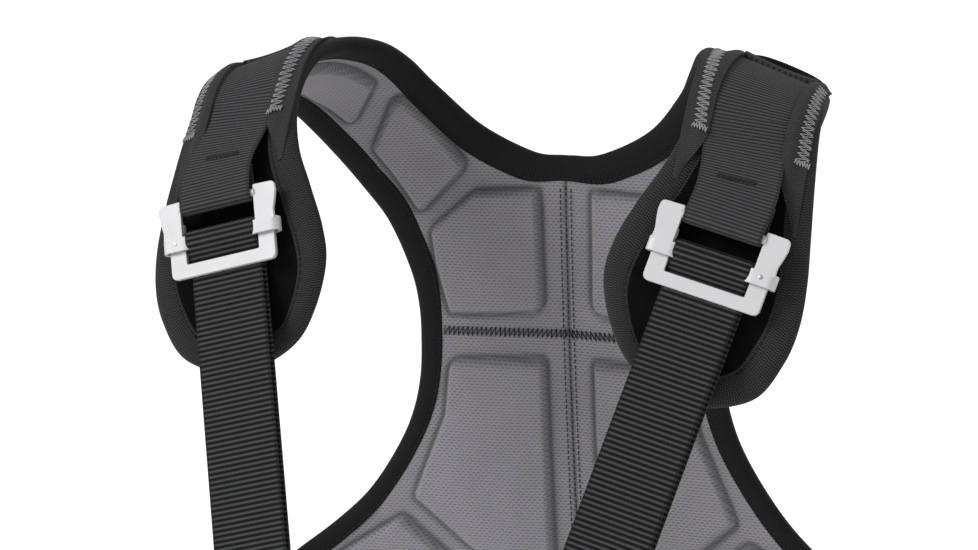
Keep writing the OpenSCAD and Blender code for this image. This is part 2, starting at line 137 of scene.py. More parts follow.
OUTER_EDGE = [
    (140, 203), (168, 184), (183, 158), (190, 135), (192, 112), (191, 88), (189, 62), (187, 38),
    (185, 16), (182, -4), (176, -26), (168, -48), (158, -72), (146, -98), (131, -127), (114, -158),
    (102, -190), (97, -213), (96, -236), (98, -262), (105, -284), (118, -303), (136, -320),
    (158, -331), (183, -340), (204, -350), (217, -366), (214, -392)]
NECK_EDGE = [
    (118, 206), (98, 200), (87, 184), (82, 162), (86, 140), (97, 112), (109, 84), (116, 56),
    (116, 30), (111, 0), (103, -22), (94, -42), (86, -62), (75, -87), (53, -122), (22, -151.5),
    (0, -163)]
SEAM_EDGE = [(0, -163), (0, -216), (0, -271), (0, -320), (0, -366), (0, -410), (0, -468)]
HEM_EDGE = [(0, -468), (45, -453), (88, -440), (132, -432), (170, -424), (195, -412)]
NECK_END = len(NECK_EDGE) - 1
HEM_START = NECK_END + len(SEAM_EDGE) - 1
LAST_ROW = len(OUTER_EDGE) - 1

BINDING_W = 15.0
BINDING_T = 4.75
LINING_T = -4.2
PILLOW_H = 6.4
COVER_T = 3.2
WEB_T = 1.8
WEB_W = 45.0
WEB_LIE = 6.1


def walk(s, path):
    """Forward, down and slope at length s along a chain of arcs."""
    y, z, a, rest = np.zeros_like(s), np.zeros_like(s), np.zeros_like(s), s.copy()
    for i, (length, turn) in enumerate(path):
        n = rest if i == len(path) - 1 else np.minimum(rest, length)
        r = length / math.radians(turn)
        b = a + n / r
        y = y + r * (np.sin(b) - np.sin(a))
        z = z - r * (np.cos(a) - np.cos(b))
        a, rest = b, rest - n
    return y, z, a


def unit(v):
    return v / np.linalg.norm(v, axis=-1, keepdims=True)


def lengths(points):
    """Length along a line of points, at each of them."""
    return np.concatenate([[0], np.cumsum(np.linalg.norm(np.diff(points, axis=0), axis=1))])


def ramp(v):
    """Smooth step from 0 to 1."""
    c = np.clip(v, 0, 1)
    return c * c * (3 - 2 * c)


def place(x, s, t):
    """Points, in millimetres, at distance t outwards from the middle surface."""
    x, s, t = np.broadcast_arrays(*(np.asarray(v, float) for v in (x, s, t)))
    front, back = walk(np.maximum(s, 0), FRONT_PATH), walk(np.maximum(-s, 0), BACK_PATH)
    ahead = s >= 0
    y, z, a = (np.where(ahead, f, b) for f, b in zip(front, back))
    way = np.where(ahead, -1, 1)
    k = FALL * np.cos(a)
    m = t / np.sqrt(1 + k * k)
    over = np.maximum(np.abs(x) - WRAP_X, 0) / WRAP_OVER
    wrap = ARM_WRAP * over * over * ramp((-s - WRAP_S) / WRAP_RAMP)
    side = np.clip(x / MIDDLE_SOFT, -1, 1)
    rise = CREST_RISE * np.maximum(np.abs(x) - CREST_RISE_X, 0) ** 2 * np.exp(-(s / CREST_RISE_S) ** 2)
    return np.stack([x + side * m * k, way * (y + m * np.sin(a)) - wrap,
                     z + m * np.cos(a) - FALL * (np.abs(x) - STRAP_X) + rise], -1)


def outward(x, s):
    return unit(place(x, s, 1.0) - place(x, s, 0.0))


def upright(x, s):
    """Outward direction square to the surface itself."""
    return unit(np.cross(place(x, s + 1, 0) - place(x, s - 1, 0), place(x + 1, s, 0) - place(x - 1, s, 0)))


def through(points, u):
    """Smooth curve through points, at u counted in points."""
    p = np.asarray(points, float)
    u = np.asarray(u, float)
    i = np.clip(np.floor(u).astype(int), 0, len(p) - 2)
    f = (u - i)[..., None]
    ext = np.vstack([2 * p[0] - p[1], p, 2 * p[-1] - p[-2]])
    a, b, c, d = (ext[i + k] for k in range(4))
    return 0.5 * (2 * b + (c - a) * f + (2 * a - 5 * b + 4 * c - d) * f ** 2
                  + (3 * b - a - 3 * c + d) * f ** 3)


def moved_in(points, width, turn):
    """Control points of an edge moved inwards; turn is 1 where the inside is on the left."""
    p = np.asarray(points, float)
    ahead = unit(np.vstack([p[1:], p[-1:]]) - np.vstack([p[:1], p[:-1]]))
    return p + width * turn * np.stack([-ahead[:, 1], ahead[:, 0]], 1)


def inner_at(u, width):
    """The half's inner edge, moved in by width, at rows u."""
    neck, hem = moved_in(NECK_EDGE, width, 1), moved_in(HEM_EDGE, width, 1)
    seam = np.asarray(SEAM_EDGE, float)
    seam[0] = neck[-1] = (0, NECK_EDGE[-1][1] - width)
    seam[-1] = hem[0] = (0, HEM_EDGE[0][1] + width)
    return np.where((u <= NECK_END)[:, None], through(neck, np.clip(u, 0, NECK_END)),
                    np.where((u <= HEM_START)[:, None],
                             through(seam, np.clip(u - NECK_END, 0, len(seam) - 1)),
                             through(hem, np.clip(u - HEM_START, 0, len(hem) - 1))))


def half_grid(u0, u1, step, cols, width):
    """[x, s] points of one half, moved in by width from its edge: rows by columns by 2."""
    u = np.linspace(u0, u1, int(round((u1 - u0) / step)) + 1)
    a = through(moved_in(OUTER_EDGE, width, -1), u)
    b = inner_at(u, width)
    f = np.linspace(0, 1, cols + 1)[None, :, None]
    return a[:, None] * (1 - f) + b[:, None] * f


def resample(points, gap):
    """The same line with its points a fixed gap apart."""
    p = np.asarray(points, float)
    run = lengths(p)
    at = np.linspace(0, run[-1], max(int(round(run[-1] / gap)), 1) + 1)
    return np.stack([np.interp(at, run, p[:, k]) for k in range(p.shape[1])], 1)


# ---------------------------------------------------------------- meshes

def add_object(name, verts, faces, material, uvs=None):
    """A mesh object in metres, from points in millimetres; uvs are per point, in millimetres."""
    mesh = bpy.data.meshes.new(name)
    mesh.from_pydata((np.asarray(verts, float) * MM).tolist(), [], faces)
    if uvs is not None:
        layer = mesh.uv_layers.new(name="pattern")
        index = np.empty(len(mesh.loops), np.int32)
        mesh.loops.foreach_get("vertex_index", index)
        layer.data.foreach_set("uv", (np.asarray(uvs, float) * MM)[index].ravel())
    mesh.polygons.foreach_set("use_smooth", [True] * len(mesh.polygons))
    mesh.materials.append(material)
    mesh.update()
    obj = bpy.data.objects.new(name, mesh)
    scene.collection.objects.link(obj)
    return obj


def finish_normals(obj, angle=35):
    """Faces outwards, and edges sharper than angle stay crisp."""
    bm = bmesh.new()
    bm.from_mesh(obj.data)
    bmesh.ops.recalc_face_normals(bm, faces=bm.faces)
    limit = math.radians(angle)
    for edge in bm.edges:
        edge.smooth = len(edge.link_faces) == 2 and edge.calc_face_angle(0) < limit
    bm.to_mesh(obj.data)
    bm.free()


def loop_tube(rings):
    """Points and faces of a tube through rings of points, capped at its ends."""
    rings = np.asarray(rings)
    n, k = rings.shape[:2]
    faces = []
    for i in range(n - 1):
        a, b = i * k, (i + 1) * k
        for j in range(k):
            j2 = (j + 1) % k
            faces.append((a + j, a + j2, b + j2, b + j))
    faces.append(tuple(range(k - 1, -1, -1)))
    faces.append(tuple((n - 1) * k + j for j in range(k)))
    return rings.reshape(-1, rings.shape[-1]), faces


def slab(name, low, high, grid, material, mirrored, crease_shade=None):
    """Closed piece between two surfaces given as rows by columns by 3."""
    n, k = low.shape[:2]
    idx = np.arange(n * k).reshape(n, k)
    quad = np.stack([idx[:-1, :-1], idx[:-1, 1:], idx[1:, 1:], idx[1:, :-1]], -1).reshape(-1, 4)
    top = quad[:, ::-1] + n * k
    rim = np.concatenate([idx[0, :], idx[1:, -1], idx[-1, -2::-1], idx[-2:0:-1, 0]])
    nxt = np.roll(rim, -1)
    wall = np.stack([rim, rim + n * k, nxt + n * k, nxt], -1)
    faces = np.concatenate([quad, top, wall])
    if mirrored:
        faces = faces[:, ::-1]
    verts = np.concatenate([low.reshape(-1, 3), high.reshape(-1, 3)])
    uvs = np.concatenate([grid.reshape(-1, 2)] * 2)
    obj = add_object(name, verts, faces.tolist(), material, uvs)
    # crease weight per point, which the lining's material reads to paint shade into its creases
    if crease_shade is not None:
        shade = obj.data.attributes.new("crease_shade", "FLOAT", "POINT")
        shade.data.foreach_set("value", np.concatenate([crease_shade.ravel(), np.zeros(n * k)]))
    return obj


THREAD_SIDES = 5
THREAD_TIP = 0.45


def strand(points, radius):
    """Tube of thread through points, thinner at its ends, as points and faces."""
    p = np.asarray(points, float)
    ahead = unit(np.gradient(p, axis=0))
    ref = np.array([0.0, 0.0, 1.0]) if abs(ahead[0][2]) < 0.8 else np.array([0.0, 1.0, 0.0])
    a = unit(np.cross(ahead, ref))
    b = np.cross(ahead, a)
    r = np.full(len(p), radius)
    r[0] = r[-1] = radius * THREAD_TIP
    ang = np.linspace(0, 2 * math.pi, THREAD_SIDES, endpoint=False)
    ring = np.cos(ang)[None, :, None] * a[:, None] + np.sin(ang)[None, :, None] * b[:, None]
    return loop_tube(p[:, None] + ring * r[:, None, None])


def join_parts(name, parts, material):
    """One object of many loose parts, each given as points and faces."""
    verts, faces, base = [], [], 0
    for v, f in parts:
        verts.append(np.asarray(v))
        faces.extend(tuple(i + base for i in face) for face in f)
        base += len(v)
    return add_object(name, np.concatenate(verts), faces, material)


def stitch(a, b, lift, radius):
    """One stitch from a to b, arched by lift and dipping in at both ends."""
    a, b, lift = np.asarray(a), np.asarray(b), np.asarray(lift)
    f = np.array([0, 0.14, 0.5, 0.86, 1.0])[:, None]
    up = np.array([-0.9, 0.35, 0.8, 0.35, -0.9])[:, None] * radius
    return strand(a + (b - a) * f + lift * up, radius)


def stitch_row(pairs, t, sign, length=2.7, gap=1.1, radius=0.35):
    """Stitches along a line of [x, s] points on the surface at t; sign is -1 on the body side."""
    line = resample(pairs, 0.5)
    run = lengths(line)
    count = int(run[-1] // (length + gap))
    parts = []
    for i in range(count):
        ends = [np.interp(v, run, line[:, k]) for v in (i * (length + gap), i * (length + gap) + length)
                for k in (0, 1)]
        p = place(np.array(ends[0::2]), np.array(ends[1::2]), t)
        parts.append(stitch(p[0], p[1], sign * outward(ends[0], ends[1]), radius))
    return parts


def zigzag(line, level, sign, width, pitch, radius, seed, rough):
    """One thread that zigzags along a line of [x, s] points, at level(x, s) outwards."""
    rng = np.random.default_rng(seed)
    spine = resample(line, pitch / 2)
    ahead = unit(np.gradient(spine, axis=0))
    across = np.stack([-ahead[:, 1], ahead[:, 0]], 1)
    way = np.where(np.arange(len(spine)) % 2 == 0, 1, -1)[:, None]
    spine = spine + across * way * width / 2 * (1 + rough * rng.uniform(-1, 1, (len(spine), 1)))
    spine += rough * 0.5 * rng.uniform(-1, 1, spine.shape)
    parts = []
    for a, b in zip(spine[:-1], spine[1:]):
        x, at = np.stack([a, b], 1)
        p = place(x, at, level(x, at))
        parts.append(stitch(p[0], p[1], sign * outward(*a), radius))
    return parts


RIBBON_COLS = 24
SELVEDGE = 2.2


def ribbon(name, centre, wide, width, thick, material, rib, rib_h):
    """Woven webbing along centre points with width directions; ribs run across it."""
    centre, wide = np.asarray(centre, float), np.asarray(wide, float)
    run = lengths(centre)
    step = rib / 8
    at = np.linspace(0, run[-1], int(run[-1] / step) + 1)
    c = np.stack([np.interp(at, run, centre[:, k]) for k in range(3)], 1)
    w = unit(np.stack([np.interp(at, run, wide[:, k]) for k in range(3)], 1))
    up = unit(np.cross(np.gradient(c, axis=0), w))
    ridge = np.abs(np.sin(math.pi * at / rib)) ** 1.5
    x = np.linspace(-0.5, 0.5, RIBBON_COLS + 1) * width
    x = np.sign(x) * (width / 2) * (1 - (1 - np.abs(x) / (width / 2)) ** 1.25)
    inside = np.clip((width / 2 - np.abs(x)) / SELVEDGE, 0, 1)
    body = 0.72 + 0.28 * ramp(inside * 1.5)
    weave = ramp((inside - 0.3) * 2.2)
    half = thick / 2 * body[None, :] + rib_h * (ridge[:, None] - 1) * weave[None, :]
    half[:, [0, -1]] = thick * 0.22
    top = c[:, None] + w[:, None] * x[None, :, None] + up[:, None] * half[:, :, None]
    low = c[:, None] + w[:, None] * x[None, :, None] - up[:, None] * half[:, :, None]
    verts, faces = loop_tube(np.concatenate([top, low[:, ::-1]], 1))
    u = np.concatenate([x, x[::-1]])
    uvs = np.stack(np.broadcast_arrays(u[None, :], at[:, None]), -1).reshape(-1, 2)
    obj = add_object(name, verts, faces, material, uvs)
    finish_normals(obj, 60)
    return obj


def declare(obj, nodes=(), body="yoke"):
    """The nodes that a piece stands for, and the body that it rides on."""
    if nodes:
        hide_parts(*nodes)
    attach(obj, body)


# ---------------------------------------------------------------- materials

class Graph:
    """Short names for building one material's nodes."""

    def __init__(self, name):
        self.material = bpy.data.materials.new(name)
        self.material.use_nodes = True
        self.tree = self.material.node_tree
        self.shader = self.tree.nodes["Principled BSDF"]

    def node(self, kind, **values):
        made = self.tree.nodes.new(kind)
        for key, value in values.items():
            setattr(made, key, value)
        return made

    def link(self, a, b):
        self.tree.links.new(a, b)

    def math(self, operation, a, b=None, c=None):
        n = self.node("ShaderNodeMath", operation=operation)
        for socket, value in zip(n.inputs, (a, b, c)):
            if value is None:
                continue
            if isinstance(value, (int, float)):
                socket.default_value = value
            else:
                self.link(value, socket)
        return n.outputs[0]

    def pattern(self):
        """The pattern map's two coordinates, in millimetres."""
        uv = self.node("ShaderNodeUVMap", uv_map="pattern")
        split = self.node("ShaderNodeSeparateXYZ")
        self.link(uv.outputs[0], split.inputs[0])
        return [self.math("MULTIPLY", split.outputs[k], 1000.0) for k in (0, 1)]

    def noise(self, scale, detail=4.0, roughness=0.6):
        n = self.node("ShaderNodeTexNoise")
        n.inputs["Scale"].default_value = scale
        n.inputs["Detail"].default_value = detail
        n.inputs["Roughness"].default_value = roughness
        self.link(self.node("ShaderNodeTexCoord").outputs["Object"], n.inputs["Vector"])
        return n.outputs["Fac"]

    def wave(self, value, period, phase=0.0):
        """0 to 1 cosine wave of value."""
        a = self.math("MULTIPLY_ADD", value, 2 * math.pi / period, phase)
        return self.math("MULTIPLY_ADD", self.math("COSINE", a), 0.5, 0.5)

    def mix(self, fac, low, high):
        n = self.node("ShaderNodeMix", data_type="RGBA")
        self.link(fac, n.inputs[0])
        for socket, value in ((n.inputs[6], low), (n.inputs[7], high)):
            if isinstance(value, tuple):
                socket.default_value = (*value, 1)
            else:
                self.link(value, socket)
        return n.outputs[2]

    def spread(self, value, lo, hi, to_lo, to_hi):
        n = self.node("ShaderNodeMapRange")
        for socket, v in zip(list(n.inputs)[1:5], (lo, hi, to_lo, to_hi)):
            socket.default_value = v
        self.link(value, n.inputs[0])
        return n.outputs[0]

    def colour(self, value):
        self.link(value, self.shader.inputs["Base Color"])

    def roughness(self, value):
        if isinstance(value, (int, float)):
            self.shader.inputs["Roughness"].default_value = value
        else:
            self.link(value, self.shader.inputs["Roughness"])

    def bump(self, height, distance, strength):
        n = self.node("ShaderNodeBump")
        n.inputs["Strength"].default_value = strength
        n.inputs["Distance"].default_value = distance * MM
        self.link(height, n.inputs["Height"])
        self.link(n.outputs[0], self.shader.inputs["Normal"])

    def sheen(self, weight, roughness):
        self.shader.inputs["Sheen Weight"].default_value = weight
        self.shader.inputs["Sheen Roughness"].default_value = roughness
        self.shader.inputs["Sheen Tint"].default_value = (1, 1, 1, 1)

    def specular(self, level):
        self.shader.inputs["Specular IOR Level"].default_value = level


def spacer_mesh():
    """Grey warp-knit lining with level rows of short dark slits, staggered like bricks, and painted shade in
    its creases.
    """
    g = Graph("spacer_mesh")
    x, s = g.pattern()
    row_h, slit_w, level = 1.8, 3.3, 0.43
    height = g.math("MULTIPLY_ADD", g.math("ABSOLUTE", x), level, g.math("ABSOLUTE", s))
    v = g.math("DIVIDE", height, row_h)
    odd = g.math("MULTIPLY", g.math("FLOORED_MODULO", g.math("FLOOR", v), 2.0), 0.5)
    u = g.math("ADD", g.math("DIVIDE", x, slit_w), odd)
    du = g.math("ABSOLUTE", g.math("SUBTRACT", g.math("FRACT", u), 0.5))
    dv = g.math("ABSOLUTE", g.math("SUBTRACT", g.math("FRACT", v), 0.5))
    slit = g.math("MULTIPLY", g.spread(du, 0.24, 0.38, 1, 0), g.spread(dv, 0.06, 0.27, 1, 0))
    wisp = g.noise(900.0)
    cloud = g.noise(26.0, 3.0)
    yarn = g.wave(x, 0.65)
    base = g.mix(cloud, (0.19, 0.184, 0.198), (0.25, 0.242, 0.258))
    base = g.mix(g.math("MULTIPLY", wisp, 0.4), base, (0.145, 0.14, 0.152))
    base = g.mix(g.math("MULTIPLY", slit, 0.62), base, (0.05, 0.049, 0.053))
    # painted shade: the colour darkens towards near black by the crease weight, at the pillows' feet and
    # along the middle seam
    crease_shade = g.node("ShaderNodeAttribute", attribute_name="crease_shade")
    g.colour(g.mix(g.math("MULTIPLY", crease_shade.outputs["Fac"], 0.72), base, (0.035, 0.034, 0.037)))
    relief = g.math("SUBTRACT", g.math("MULTIPLY_ADD", yarn, 0.12, g.math("MULTIPLY", wisp, 0.2)), slit)
    g.bump(relief, 0.3, 0.7)
    g.roughness(0.88)
    g.sheen(0.1, 0.5)
    g.specular(0.2)
    return g.material


def knit_rib(g, along, across, period):
    """Fine slanted ribs of knitted tape, broken into small knots, with the noise of their fibres."""
    slant = g.math("ADD", along, g.math("MULTIPLY", g.wave(across, 3.2), 0.55))
    rib = g.wave(slant, period)
    knot = g.wave(across, 1.2)
    fibre = g.noise(1400.0, 3.0)
    weave = g.math("MULTIPLY", rib, g.math("MULTIPLY_ADD", knot, 0.55, 0.45))
    tone = g.math("MULTIPLY", weave, g.math("MULTIPLY_ADD", fibre, 0.9, 0.35))
    g.bump(g.math("MULTIPLY_ADD", fibre, 0.35, weave), 0.22, 0.8)
    g.roughness(0.86)
    g.sheen(0.03, 0.4)
    g.specular(0.12)
    return tone


def knit_binding():
    """Knitted edge tape: near black on the body side, grey on the outer side."""
    g = Graph("knit_binding")
    along, across = g.pattern()
    tone = knit_rib(g, along, across, 1.5)
    outer = g.spread(across, 15.0, 20.0, 1, 0)
    body_side = g.mix(tone, (0.004, 0.004, 0.0045), (0.017, 0.017, 0.0185))
    outer_face = g.mix(tone, (0.007, 0.007, 0.0075), (0.058, 0.058, 0.061))
    g.colour(g.mix(outer, body_side, outer_face))
    return g.material


def flap_knit():
    """Grey knitted cover tape of the flaps and the crest's piping."""
    g = Graph("flap_tape")
    along, across = g.pattern()
    g.colour(g.mix(knit_rib(g, along, across, 1.2), (0.014, 0.014, 0.015), (0.068, 0.068, 0.071)))
    return g.material


def webbing_weave(name, rib, narrow, low, high):
    """Ribbed polyester webbing: each rib is a row of small slanted yarns."""
    g = Graph(name)
    across, along = g.pattern()
    yarn = g.wave(g.math("MULTIPLY_ADD", along, 0.35, across), 0.85)
    ridge = g.wave(along, rib, math.pi)
    fibre = g.noise(1500.0, 3.0)
    edge = g.spread(g.math("ABSOLUTE", across), WEB_W / 2 - 2.0, WEB_W / 2 - 1.4, 0, 1)
    tone = g.math("MULTIPLY", g.math("MULTIPLY_ADD", yarn, 0.45, 0.55), g.math("POWER", ridge, narrow))
    tone = g.math("MULTIPLY", tone, g.math("MULTIPLY_ADD", fibre, 0.8, 0.5))
    tone = g.math("MULTIPLY", tone, g.math("MULTIPLY_ADD", edge, -0.45, 1.0))
    g.colour(g.mix(tone, low, high))
    g.bump(g.math("MULTIPLY_ADD", fibre, 0.3, yarn), 0.12, 0.8)
    g.roughness(0.76)
    g.sheen(0.02, 0.35)
    g.specular(0.12)
    return g.material


def brushed_fleece():
    g = Graph("brushed_fleece")
    tuft = g.noise(900.0, 5.0, 0.7)
    patch = g.noise(70.0, 3.0)
    g.colour(g.mix(g.math("MULTIPLY", tuft, patch), (0.0012, 0.0012, 0.0014), (0.008, 0.008, 0.0088)))
    g.bump(g.math("MULTIPLY_ADD", patch, 0.6, tuft), 0.5, 0.8)
    g.roughness(0.95)
    g.specular(0.06)
    return g.material


def woven_cover():
    """Plain-woven outer fabric."""
    g = Graph("woven_cover")
    x, s = g.pattern()
    warp, weft = g.wave(x, 0.9), g.wave(s, 0.9)
    cloud = g.noise(40.0, 3.0)
    weave = g.math("MULTIPLY", warp, weft)
    g.colour(g.mix(g.math("MULTIPLY", weave, g.math("MULTIPLY_ADD", cloud, 0.8, 0.5)),
                   (0.012, 0.012, 0.013), (0.045, 0.045, 0.047)))
    g.bump(weave, 0.15, 0.7)
    g.roughness(0.8)
    g.sheen(0.12, 0.4)
    g.specular(0.3)
    return g.material


def sewing_thread(name, low, high):
    g = Graph(name)
    twist = g.noise(1800.0, 2.0)
    g.colour(g.mix(twist, low, high))
    g.bump(twist, 0.1, 0.6)
    g.roughness(0.7)
    g.sheen(0.03, 0.4)
    g.specular(0.2)
    return g.material


def satin_metal(name, base, rough):
    """Blasted and tumbled metal: fine grain, faint smudges, softer sheen in its scratches."""
    g = Graph(name)
    grain = g.noise(2200.0, 2.0)
    smudge = g.noise(55.0, 4.0)
    g.colour(g.mix(smudge, tuple(v * 0.93 for v in base), base))
    g.roughness(g.spread(g.math("MULTIPLY_ADD", grain, 0.5, g.math("MULTIPLY", smudge, 0.5)),
                         0.3, 0.7, rough - 0.05, rough + 0.07))
    g.bump(grain, 0.012, 0.5)
    g.shader.inputs["Metallic"].default_value = 1.0
    return g.material


def moulded_plastic():
    g = Graph("moulded_plastic")
    grain = g.noise(1100.0, 3.0)
    g.colour(g.mix(grain, (0.014, 0.014, 0.015), (0.026, 0.026, 0.028)))
    g.bump(grain, 0.06, 0.6)
    g.roughness(0.55)
    return g.material


MESH = spacer_mesh()
KNIT = knit_binding()
FRONT_RIB, LOAD_RIB = 2.95, 2.0
FRONT_WEAVE = webbing_weave("front_webbing", FRONT_RIB, 1.9, (0.003, 0.003, 0.0034),
                            (0.08, 0.082, 0.086))
LOAD_WEAVE = webbing_weave("load_webbing", LOAD_RIB, 1.0, (0.012, 0.012, 0.013),
                           (0.078, 0.079, 0.082))
FLEECE = brushed_fleece()
COVER = woven_cover()
FLAP = flap_knit()
LIGHT_THREAD = sewing_thread("light_thread", (0.16, 0.16, 0.17), (0.36, 0.36, 0.38))
DARK_THREAD = sewing_thread("dark_thread", (0.005, 0.005, 0.006), (0.02, 0.02, 0.022))
ALLOY = satin_metal("satin_alloy", (0.62, 0.62, 0.63), 0.74)
STEEL = satin_metal("rivet_steel", (0.42, 0.42, 0.43), 0.4)
PLASTIC = moulded_plastic()


# ---------------------------------------------------------------- padding

PILLOW_CORNER = 6.0
PILLOW_CROWN = 1.2
PILLOWS = [
    [(57, -160), (16, -176), (15, -252), (76, -229), (84, -196), (87, -172)],
    [(77, -256), (15, -280), (15, -433), (64, -388), (105, -334), (82, -290)],
    [(99, -73), (61, -143), (93, -161), (121, -106)],
    [(134, -4), (122, -31), (109, -62), (130, -87), (149, -50), (161, -8)],
    [(112, -342), (72, -394), (104, -420), (152, -410), (192, -396), (196, -366), (150, -350)],
    [(136, 10), (136, 50), (130, 84), (118, 112), (106, 140), (103, 164), (112, 184), (130, 192),
     (150, 178), (168, 150), (172, 112), (170, 70), (166, 14)],
]


def shrunk(polygon, width):
    """A polygon with its corners moved in, so that its sides are all width further in."""
    p = np.asarray(polygon, float)
    area = np.sum(p[:, 0] * np.roll(p[:, 1], -1) - np.roll(p[:, 0], -1) * p[:, 1])
    turn = 1 if area > 0 else -1
    ahead = unit(np.roll(p, -1, 0) - p)
    normal = turn * np.stack([-ahead[:, 1], ahead[:, 0]], 1)
    before = np.roll(normal, 1, 0)
    return p + width * (normal + before) / (1 + np.sum(normal * before, 1))[:, None]


def depth_inside(polygon, x, s, corner):
    """Distance inside a polygon with rounded corners, negative outside."""
    p = shrunk(polygon, corner)
    q = np.roll(p, -1, 0)
    best = np.full(x.shape, 1e9)
    odd = np.zeros(x.shape, bool)
    for (ax, ay), (bx, by) in zip(p, q):
        ex, ey = bx - ax, by - ay
        f = np.clip(((x - ax) * ex + (s - ay) * ey) / (ex * ex + ey * ey), 0, 1)
        best = np.minimum(best, np.hypot(x - ax - f * ex, s - ay - f * ey))
        crosses = (ay > s) != (by > s)
        odd ^= crosses & (x < ex * (s - ay) / (ey if ey else 1e-9) + ax)
    return np.where(odd, best, -best) + corner


def pillow_rise(x, s):
    """Height of the moulded pillows above the lining at [x, s], and how deep in a crease it is, which also
    sets the lining's painted shade.
    """
    rise = np.zeros(x.shape)
    crease_shade = np.zeros(x.shape)
    for polygon in PILLOWS:
        d = depth_inside(polygon, x, s, PILLOW_CORNER)
        rise = np.maximum(rise, ramp(d / 3.8) * (PILLOW_H - PILLOW_CROWN) + ramp(d / 26) * PILLOW_CROWN)
        crease_shade = np.maximum(crease_shade, np.exp(-((d + 0.4) / 1.7) ** 2))
    return rise - 0.6 * crease_shade, crease_shade


def soft_noise(x, s, scale, seed):
    """Smooth unevenness between about -1 and 1, from a few waves."""
    rng = np.random.default_rng(seed)
    total = np.zeros(np.shape(x))
    for _ in range(7):
        a, b, c = rng.uniform(-1, 1), rng.uniform(-1, 1), rng.uniform(0, 6.28)
        total = total + np.sin((a * x + b * s) / scale * 6.28 + c)
    return total / 4.0


def lining_level(x, s, seed):
    """Level of the lining's face, and its creases, whose weight also paints shade into the lining's colour.
    """
    ease = soft_noise(x, s, 34.0, seed) * 0.22 + soft_noise(x, s, 11.0, seed + 1) * 0.08
    groove = np.exp(-(np.abs(x) / 1.1) ** 2) * (s < SEAM_EDGE[0][1] - 2)
    rise, crease_shade = pillow_rise(x, s)
    return LINING_T - rise - ease + 0.9 * groove, np.maximum(crease_shade, 0.6 * groove)


END_GAP = 0.25
EDGE_GAP = 5.0
FLEECE_END = 7.6


def make_padding(side):
    """Lining, outer cover and fleece of one half; END_GAP and FLEECE_END count outline rows."""
    way = SIDES[side]
    grid = half_grid(END_GAP, LAST_ROW - END_GAP, 0.06, 104, EDGE_GAP)
    x, s = grid[..., 0], grid[..., 1]
    seen, crease_shade = lining_level(x, s, 3 if way > 0 else 13)
    lining = slab("lining_" + side, place(way * x, s, seen), place(way * x, s, -0.6),
                  np.stack([way * x, s], -1), MESH, way < 0, crease_shade)
    names = ["foam_core_", "lining_upper_", "lining_lower_"]
    names += ["pillow_" + n + "_" for n in ("upper", "lower", "arm", "crest", "side", "front")]
    declare(lining, [n + side for n in names])

    grid = half_grid(END_GAP, LAST_ROW - END_GAP, 0.12, 44, EDGE_GAP)
    x, s = grid[..., 0], grid[..., 1]
    level = COVER_T + 0.25 * soft_noise(x, s, 30.0, 7)
    cover = slab("outer_cover_" + side + "_cloth", place(way * x, s, -0.4), place(way * x, s, level),
                 np.stack([way * x, s], -1), COVER, way < 0)
    declare(cover, ["outer_cover_" + side])

    grid = half_grid(END_GAP, FLEECE_END, 0.06, 44, EDGE_GAP)
    x, s = grid[..., 0], grid[..., 1]
    level = COVER_T + 1.1 + 0.2 * soft_noise(x, s, 16.0, 9)
    fleece = slab("front_panel_" + side + "_fleece", place(way * x, s, COVER_T - 0.4),
                  place(way * x, s, level), np.stack([way * x, s], -1), FLEECE, way < 0)
    declare(fleece, ["front_panel_" + side])


for side in SIDES:
    make_padding(side)


# ---------------------------------------------------------------- edge binding

SECTION = [
    (0.00, 0.90), (0.03, 1.00), (0.08, 0.99), (0.13, 0.93), (0.18, 0.99), (0.28, 1.05), (0.42, 1.08),
    (0.58, 1.06), (0.72, 0.99), (0.84, 0.84), (0.93, 0.60), (0.985, 0.32), (1.00, 0.0)]


STITCH_IN, STITCH_AT = 0.87, 0.95


def tape_stations():
    """Rows, edge points and inward directions round the +X half, from the neck's centre to the hem's."""
    outline = NECK_EDGE[::-1] + OUTER_EDGE + HEM_EDGE[::-1]
    last = len(outline) - 1
    u = np.arange(0, last + 1e-9, 0.04)
    edge = through(outline, u)
    ahead = through(outline, np.minimum(u + 0.02, last)) - through(outline, np.maximum(u - 0.02, 0))
    inward = unit(np.stack([ahead[:, 1], -ahead[:, 0]], 1))
    inward[:, 0] *= ramp(edge[:, 0] / 30)
    return u, edge, unit(inward)


